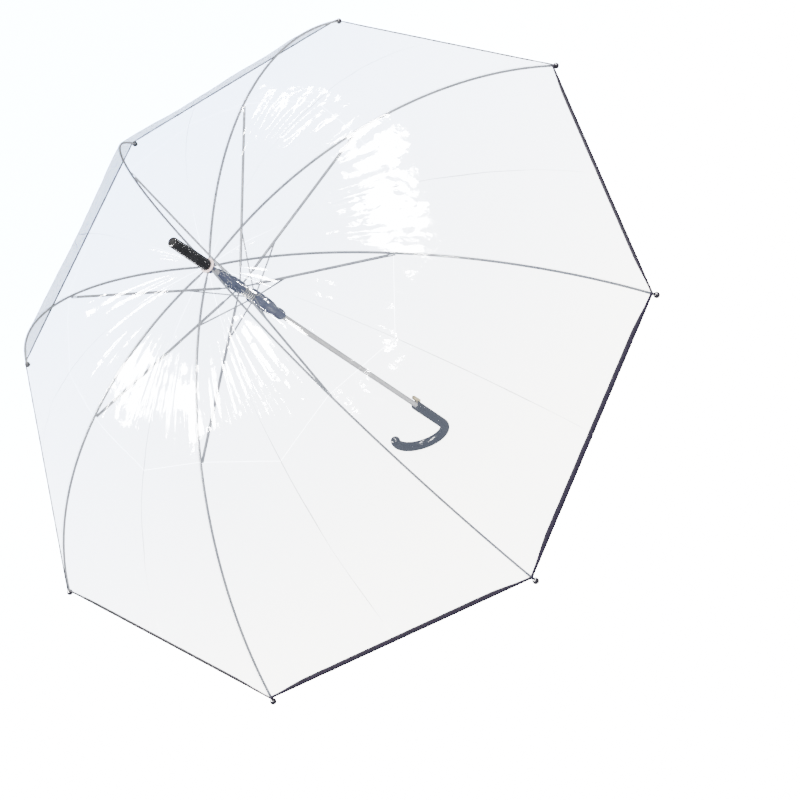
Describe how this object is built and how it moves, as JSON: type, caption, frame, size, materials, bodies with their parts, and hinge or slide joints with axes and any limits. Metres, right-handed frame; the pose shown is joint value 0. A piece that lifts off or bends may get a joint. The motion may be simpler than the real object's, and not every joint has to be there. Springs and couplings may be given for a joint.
{
  "type": "stick umbrella",
  "caption": "Open stick umbrella with a clear film canopy on steel ribs, a spring-driven runner with push-button release, a long ferrule and a hooked black handle.",
  "frame": {"origin": "middle of the handle's straight grip, on the shaft's axis", "axes": "+Z along the shaft towards the ferrule, +X the way the hook opens, +Y by the right-hand rule"},
  "size_m": [0.9562, 0.9562, 0.8359],
  "materials": {
    "black_plastic": "glossy black",
    "grey_plastic": "dark grey, semi-matt moulded",
    "painted_steel": "pale grey lacquered steel",
    "spring_steel": "bright drawn wire",
    "white_enamel": "pale grey enamel",
    "clear_film": "clear soft film, glossy",
    "cream_plastic": "cream moulded"
  },
  "bodies": {
    "grip": {"handle": "black_plastic", "shaft": "white_enamel", "ferrule": "black_plastic", "rosette": "clear_film", "hub_notch": "grey_plastic", "hub_wire": "spring_steel"},
    "upper_runner": {"upper_runner": "grey_plastic", "runner_wire": "spring_steel", "jump_spring": "spring_steel"},
    "lower_runner": {"lower_runner": "grey_plastic"},
    "release": {"release_button": "cream_plastic", "runner_catch": "spring_steel"},
    "rib_inner_1": {"rib_inner_1": "painted_steel", "canopy_crown_1": "clear_film"},
    "rib_outer_1": {"rib_outer_1": "painted_steel", "canopy_skirt_1": "clear_film"},
    "stretcher_1": {"stretcher_1": "painted_steel"},
    "link_1": {"link_1": "painted_steel"},
    "rib_inner_2": {"rib_inner_2": "painted_steel", "canopy_crown_2": "clear_film"},
    "rib_outer_2": {"rib_outer_2": "painted_steel", "canopy_skirt_2": "clear_film"},
    "stretcher_2": {"stretcher_2": "painted_steel"},
    "link_2": {"link_2": "painted_steel"},
    "rib_inner_3": {"rib_inner_3": "painted_steel", "canopy_crown_3": "clear_film"},
    "rib_outer_3": {"rib_outer_3": "painted_steel", "canopy_skirt_3": "clear_film"},
    "stretcher_3": {"stretcher_3": "painted_steel"},
    "link_3": {"link_3": "painted_steel"},
    "rib_inner_4": {"rib_inner_4": "painted_steel", "canopy_crown_4": "clear_film"},
    "rib_outer_4": {"rib_outer_4": "painted_steel", "canopy_skirt_4": "clear_film"},
    "stretcher_4": {"stretcher_4": "painted_steel"},
    "link_4": {"link_4": "painted_steel"},
    "rib_inner_5": {"rib_inner_5": "painted_steel", "canopy_crown_5": "clear_film"},
    "rib_outer_5": {"rib_outer_5": "painted_steel", "canopy_skirt_5": "clear_film"},
    "stretcher_5": {"stretcher_5": "painted_steel"},
    "link_5": {"link_5": "painted_steel"},
    "rib_inner_6": {"rib_inner_6": "painted_steel", "canopy_crown_6": "clear_film"},
    "rib_outer_6": {"rib_outer_6": "painted_steel", "canopy_skirt_6": "clear_film"},
    "stretcher_6": {"stretcher_6": "painted_steel"},
    "link_6": {"link_6": "painted_steel"},
    "rib_inner_7": {"rib_inner_7": "painted_steel", "canopy_crown_7": "clear_film"},
    "rib_outer_7": {"rib_outer_7": "painted_steel", "canopy_skirt_7": "clear_film"},
    "stretcher_7": {"stretcher_7": "painted_steel"},
    "link_7": {"link_7": "painted_steel"},
    "rib_inner_8": {"rib_inner_8": "painted_steel", "canopy_crown_8": "clear_film"},
    "rib_outer_8": {"rib_outer_8": "painted_steel", "canopy_skirt_8": "clear_film"},
    "stretcher_8": {"stretcher_8": "painted_steel"},
    "link_8": {"link_8": "painted_steel"}
  },
  "joints": [
    {"name": "fold_1", "type": "hinge", "parent": "grip", "child": "rib_inner_1", "pos_m": [0.00647, 0.00268, 0.652], "axis": [-0.3827, 0.9239, 0], "range_deg": [0, 72.35], "stiffness_Nm_per_rad": 2, "springref_deg": -71.62, "deforming": ["canopy_crown_1", "canopy_skirt_1"]},
    {"name": "flex_1", "type": "hinge", "parent": "rib_inner_1", "child": "rib_outer_1", "pos_m": [0.23303, 0.09652, 0.61971], "axis": [-0.3827, 0.9239, 0], "range_deg": [-18.1, 0]},
    {"name": "strut_1", "type": "hinge", "parent": "rib_inner_1", "child": "stretcher_1", "pos_m": [0.23118, 0.09576, 0.61502], "axis": [-0.3827, 0.9239, 0], "range_deg": [-144.71, 0]},
    {"name": "link_1", "type": "hinge", "parent": "stretcher_1", "child": "link_1", "pos_m": [0.07186, 0.02976, 0.58819], "axis": [-0.3827, 0.9239, 0], "range_deg": [0, 21.45]},
    {"name": "fold_2", "type": "hinge", "parent": "grip", "child": "rib_inner_2", "pos_m": [0.00268, 0.00647, 0.652], "axis": [-0.9239, 0.3827, 0], "range_deg": [0, 72.35], "deforming": ["canopy_crown_2", "canopy_skirt_2"]},
    {"name": "flex_2", "type": "hinge", "parent": "rib_inner_2", "child": "rib_outer_2", "pos_m": [0.09652, 0.23303, 0.61971], "axis": [-0.9239, 0.3827, 0], "range_deg": [-18.1, 0]},
    {"name": "strut_2", "type": "hinge", "parent": "rib_inner_2", "child": "stretcher_2", "pos_m": [0.09576, 0.23118, 0.61502], "axis": [-0.9239, 0.3827, 0], "range_deg": [-144.71, 0]},
    {"name": "link_2", "type": "hinge", "parent": "stretcher_2", "child": "link_2", "pos_m": [0.02976, 0.07186, 0.58819], "axis": [-0.9239, 0.3827, 0], "range_deg": [0, 21.45]},
    {"name": "fold_3", "type": "hinge", "parent": "grip", "child": "rib_inner_3", "pos_m": [-0.00268, 0.00647, 0.652], "axis": [-0.9239, -0.3827, 0], "range_deg": [0, 72.35], "deforming": ["canopy_crown_3", "canopy_skirt_3"]},
    {"name": "flex_3", "type": "hinge", "parent": "rib_inner_3", "child": "rib_outer_3", "pos_m": [-0.09652, 0.23303, 0.61971], "axis": [-0.9239, -0.3827, 0], "range_deg": [-18.1, 0]},
    {"name": "strut_3", "type": "hinge", "parent": "rib_inner_3", "child": "stretcher_3", "pos_m": [-0.09576, 0.23118, 0.61502], "axis": [-0.9239, -0.3827, 0], "range_deg": [-144.71, 0]},
    {"name": "link_3", "type": "hinge", "parent": "stretcher_3", "child": "link_3", "pos_m": [-0.02976, 0.07186, 0.58819], "axis": [-0.9239, -0.3827, 0], "range_deg": [0, 21.45]},
    {"name": "fold_4", "type": "hinge", "parent": "grip", "child": "rib_inner_4", "pos_m": [-0.00647, 0.00268, 0.652], "axis": [-0.3827, -0.9239, 0], "range_deg": [0, 72.35], "deforming": ["canopy_crown_4", "canopy_skirt_4"]},
    {"name": "flex_4", "type": "hinge", "parent": "rib_inner_4", "child": "rib_outer_4", "pos_m": [-0.23303, 0.09652, 0.61971], "axis": [-0.3827, -0.9239, 0], "range_deg": [-18.1, 0]},
    {"name": "strut_4", "type": "hinge", "parent": "rib_inner_4", "child": "stretcher_4", "pos_m": [-0.23118, 0.09576, 0.61502], "axis": [-0.3827, -0.9239, 0], "range_deg": [-144.71, 0]},
    {"name": "link_4", "type": "hinge", "parent": "stretcher_4", "child": "link_4", "pos_m": [-0.07186, 0.02976, 0.58819], "axis": [-0.3827, -0.9239, 0], "range_deg": [0, 21.45]},
    {"name": "fold_5", "type": "hinge", "parent": "grip", "child": "rib_inner_5", "pos_m": [-0.00647, -0.00268, 0.652], "axis": [0.3827, -0.9239, 0], "range_deg": [0, 72.35], "deforming": ["canopy_crown_5", "canopy_skirt_5"]},
    {"name": "flex_5", "type": "hinge", "parent": "rib_inner_5", "child": "rib_outer_5", "pos_m": [-0.23303, -0.09652, 0.61971], "axis": [0.3827, -0.9239, 0], "range_deg": [-18.1, 0]},
    {"name": "strut_5", "type": "hinge", "parent": "rib_inner_5", "child": "stretcher_5", "pos_m": [-0.23118, -0.09576, 0.61502], "axis": [0.3827, -0.9239, 0], "range_deg": [-144.71, 0]},
    {"name": "link_5", "type": "hinge", "parent": "stretcher_5", "child": "link_5", "pos_m": [-0.07186, -0.02976, 0.58819], "axis": [0.3827, -0.9239, 0], "range_deg": [0, 21.45]},
    {"name": "fold_6", "type": "hinge", "parent": "grip", "child": "rib_inner_6", "pos_m": [-0.00268, -0.00647, 0.652], "axis": [0.9239, -0.3827, 0], "range_deg": [0, 72.35], "deforming": ["canopy_crown_6", "canopy_skirt_6"]},
    {"name": "flex_6", "type": "hinge", "parent": "rib_inner_6", "child": "rib_outer_6", "pos_m": [-0.09652, -0.23303, 0.61971], "axis": [0.9239, -0.3827, 0], "range_deg": [-18.1, 0]},
    {"name": "strut_6", "type": "hinge", "parent": "rib_inner_6", "child": "stretcher_6", "pos_m": [-0.09576, -0.23118, 0.61502], "axis": [0.9239, -0.3827, 0], "range_deg": [-144.71, 0]},
    {"name": "link_6", "type": "hinge", "parent": "stretcher_6", "child": "link_6", "pos_m": [-0.02976, -0.07186, 0.58819], "axis": [0.9239, -0.3827, 0], "range_deg": [0, 21.45]},
    {"name": "fold_7", "type": "hinge", "parent": "grip", "child": "rib_inner_7", "pos_m": [0.00268, -0.00647, 0.652], "axis": [0.9239, 0.3827, 0], "range_deg": [0, 72.35], "deforming": ["canopy_crown_7", "canopy_skirt_7"]},
    {"name": "flex_7", "type": "hinge", "parent": "rib_inner_7", "child": "rib_outer_7", "pos_m": [0.09652, -0.23303, 0.61971], "axis": [0.9239, 0.3827, 0], "range_deg": [-18.1, 0]},
    {"name": "strut_7", "type": "hinge", "parent": "rib_inner_7", "child": "stretcher_7", "pos_m": [0.09576, -0.23118, 0.61502], "axis": [0.9239, 0.3827, 0], "range_deg": [-144.71, 0]},
    {"name": "link_7", "type": "hinge", "parent": "stretcher_7", "child": "link_7", "pos_m": [0.02976, -0.07186, 0.58819], "axis": [0.9239, 0.3827, 0], "range_deg": [0, 21.45]},
    {"name": "fold_8", "type": "hinge", "parent": "grip", "child": "rib_inner_8", "pos_m": [0.00647, -0.00268, 0.652], "axis": [0.3827, 0.9239, 0], "range_deg": [0, 72.35], "deforming": ["canopy_crown_8", "canopy_skirt_8"]},
    {"name": "flex_8", "type": "hinge", "parent": "rib_inner_8", "child": "rib_outer_8", "pos_m": [0.23303, -0.09652, 0.61971], "axis": [0.3827, 0.9239, 0], "range_deg": [-18.1, 0]},
    {"name": "strut_8", "type": "hinge", "parent": "rib_inner_8", "child": "stretcher_8", "pos_m": [0.23118, -0.09576, 0.61502], "axis": [0.3827, 0.9239, 0], "range_deg": [-144.71, 0]},
    {"name": "link_8", "type": "hinge", "parent": "stretcher_8", "child": "link_8", "pos_m": [0.07186, -0.02976, 0.58819], "axis": [0.3827, 0.9239, 0], "range_deg": [0, 21.45]},
    {"name": "upper_runner_pivot", "type": "hinge", "parent": "stretcher_1", "child": "upper_runner", "pos_m": [0.00647, 0.00268, 0.57803], "axis": [-0.3827, 0.9239, 0], "range_deg": [0, 72.36]},
    {"name": "lower_runner_slide", "type": "slide", "parent": "upper_runner", "child": "lower_runner", "axis": [0, 0, 1], "range_m": [0, 0.0228], "deforming": ["jump_spring"]},
    {"name": "release_press", "type": "slide", "parent": "grip", "child": "release", "axis": [0.5, 0.866, 0], "range_m": [0, 0.0022], "stiffness_N_per_m": 300, "springref_m": -0.003}
  ],
  "couplings": [
    {"joint": "flex_1", "follows": "fold_1", "ratio": -0.25},
    {"joint": "strut_1", "follows": "fold_1", "ratio": -2},
    {"joint": "link_1", "follows": "fold_1", "ratio": 0.29639},
    {"joint": "fold_2", "follows": "fold_1", "ratio": 1},
    {"joint": "flex_2", "follows": "fold_1", "ratio": -0.25},
    {"joint": "strut_2", "follows": "fold_1", "ratio": -2},
    {"joint": "link_2", "follows": "fold_1", "ratio": 0.29639},
    {"joint": "fold_3", "follows": "fold_1", "ratio": 1},
    {"joint": "flex_3", "follows": "fold_1", "ratio": -0.25},
    {"joint": "strut_3", "follows": "fold_1", "ratio": -2},
    {"joint": "link_3", "follows": "fold_1", "ratio": 0.29639},
    {"joint": "fold_4", "follows": "fold_1", "ratio": 1},
    {"joint": "flex_4", "follows": "fold_1", "ratio": -0.25},
    {"joint": "strut_4", "follows": "fold_1", "ratio": -2},
    {"joint": "link_4", "follows": "fold_1", "ratio": 0.29639},
    {"joint": "fold_5", "follows": "fold_1", "ratio": 1},
    {"joint": "flex_5", "follows": "fold_1", "ratio": -0.25},
    {"joint": "strut_5", "follows": "fold_1", "ratio": -2},
    {"joint": "link_5", "follows": "fold_1", "ratio": 0.29639},
    {"joint": "fold_6", "follows": "fold_1", "ratio": 1},
    {"joint": "flex_6", "follows": "fold_1", "ratio": -0.25},
    {"joint": "strut_6", "follows": "fold_1", "ratio": -2},
    {"joint": "link_6", "follows": "fold_1", "ratio": 0.29639},
    {"joint": "fold_7", "follows": "fold_1", "ratio": 1},
    {"joint": "flex_7", "follows": "fold_1", "ratio": -0.25},
    {"joint": "strut_7", "follows": "fold_1", "ratio": -2},
    {"joint": "link_7", "follows": "fold_1", "ratio": 0.29639},
    {"joint": "fold_8", "follows": "fold_1", "ratio": 1},
    {"joint": "flex_8", "follows": "fold_1", "ratio": -0.25},
    {"joint": "strut_8", "follows": "fold_1", "ratio": -2},
    {"joint": "link_8", "follows": "fold_1", "ratio": 0.29639},
    {"joint": "upper_runner_pivot", "follows": "fold_1", "ratio": 1},
    {"joint": "lower_runner_slide", "follows": "fold_1", "m_per_rad": 0.018048}
  ]
}
